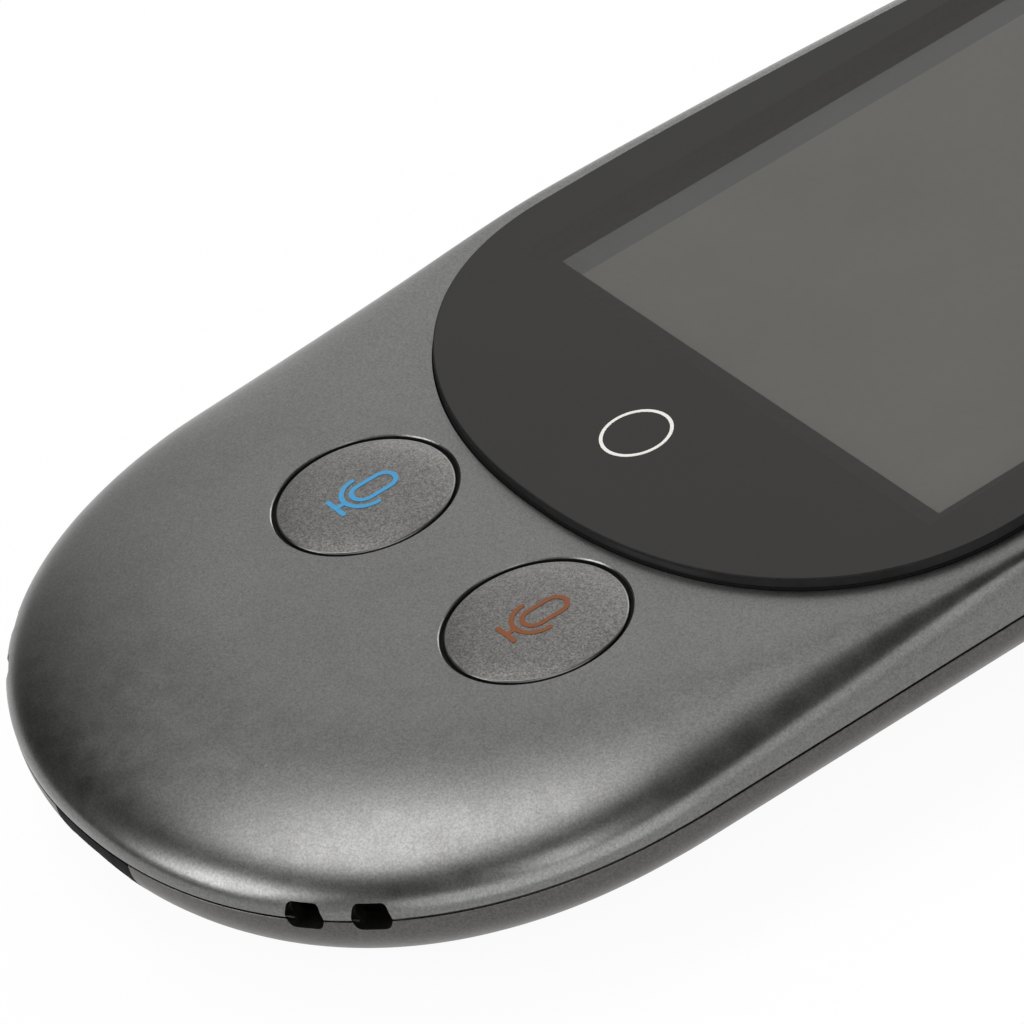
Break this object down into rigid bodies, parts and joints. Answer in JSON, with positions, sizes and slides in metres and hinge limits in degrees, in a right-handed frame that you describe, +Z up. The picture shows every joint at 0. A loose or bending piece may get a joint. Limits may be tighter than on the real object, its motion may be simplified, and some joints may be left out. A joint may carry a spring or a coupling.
{
  "type": "voice translator",
  "caption": "Hand-held voice translator: grey clamshell body, black cover glass over a touch screen, round talk keys below it, side keys, and a charging socket in its foot.",
  "frame": {"origin": "middle of the underside, on the surface it lies on", "axes": "+Z up out of the cover glass, +Y from the talk keys towards the top of the screen, +X to the right of a person holding it"},
  "size_m": [0.0606, 0.13, 0.012],
  "materials": {
    "shell_paint": "satin grey metallic paint with a fine sparkle",
    "back_paint": "satin warm grey metallic paint",
    "key_paint": "warm grey metallic paint with a coarser grain",
    "black_glass": "polished, printed black behind, clear over the display window",
    "display_panel": "dark glossy polariser film",
    "steel": "nickel plated",
    "board_green": "solder mask",
    "black_plastic": "moulded",
    "white_plastic": "moulded",
    "cell_foil": "laminated pouch foil",
    "black_foam": "soft foam",
    "amber_film": "amber film with copper tracks",
    "red_sleeve": "red sleeve",
    "gold_plate": "gold plated can"
  },
  "bodies": {
    "housing": {"front_shell": "shell_paint", "back_shell": "back_paint", "cover_glass": "black_glass", "display_module": "display_panel", "display_tray": "steel", "display_flex": "amber_film", "display_connector": "black_plastic", "left_talk_switch": "steel", "right_talk_switch": "steel", "key_retainer": "steel", "main_board": "board_green", "board_screw_1": "steel", "board_screw_2": "steel", "board_screw_3": "steel", "board_screw_4": "steel", "radio_shield": "steel", "processor_shield": "steel", "battery_socket": "white_plastic", "battery_lead": "red_sleeve", "battery": "cell_foil", "left_sound_mesh": "black_plastic", "right_sound_mesh": "black_plastic", "left_sound_boot": "black_foam", "right_sound_boot": "black_foam", "left_microphone": "gold_plate", "right_microphone": "gold_plate", "usb_socket_shell": "steel", "usb_tongue": "black_plastic", "speaker_gasket": "black_foam", "loudspeaker": "black_plastic", "upper_board": "board_green", "upper_screw_1": "steel", "upper_screw_2": "steel", "aerial_flex": "amber_film", "power_switch": "steel", "power_key_board": "board_green", "volume_down_switch": "steel", "volume_down_key_board": "board_green", "volume_up_switch": "steel", "volume_up_key_board": "board_green"},
    "left_talk_key": {"left_talk_key": "key_paint", "left_switch_plunger": "black_plastic"},
    "right_talk_key": {"right_talk_key": "key_paint", "right_switch_plunger": "black_plastic"},
    "power_key": {"power_key": "key_paint"},
    "volume_down_key": {"volume_down_key": "key_paint"},
    "volume_up_key": {"volume_up_key": "key_paint"}
  },
  "joints": [
    {"name": "left_talk_press", "type": "slide", "parent": "housing", "child": "left_talk_key", "axis": [0, 0, -1], "range_m": [0, 0.00035], "stiffness_N_per_m": 500},
    {"name": "right_talk_press", "type": "slide", "parent": "housing", "child": "right_talk_key", "axis": [0, 0, -1], "range_m": [0, 0.00035], "stiffness_N_per_m": 500},
    {"name": "power_press", "type": "slide", "parent": "housing", "child": "power_key", "axis": [-0.9962, -0.0874, 0], "range_m": [0, 0.00035], "stiffness_N_per_m": 300},
    {"name": "volume_down_press", "type": "slide", "parent": "housing", "child": "volume_down_key", "axis": [0.9976, -0.0697, 0], "range_m": [0, 0.00035], "stiffness_N_per_m": 300},
    {"name": "volume_up_press", "type": "slide", "parent": "housing", "child": "volume_up_key", "axis": [0.996, -0.0897, 0], "range_m": [0, 0.00035], "stiffness_N_per_m": 300}
  ]
}
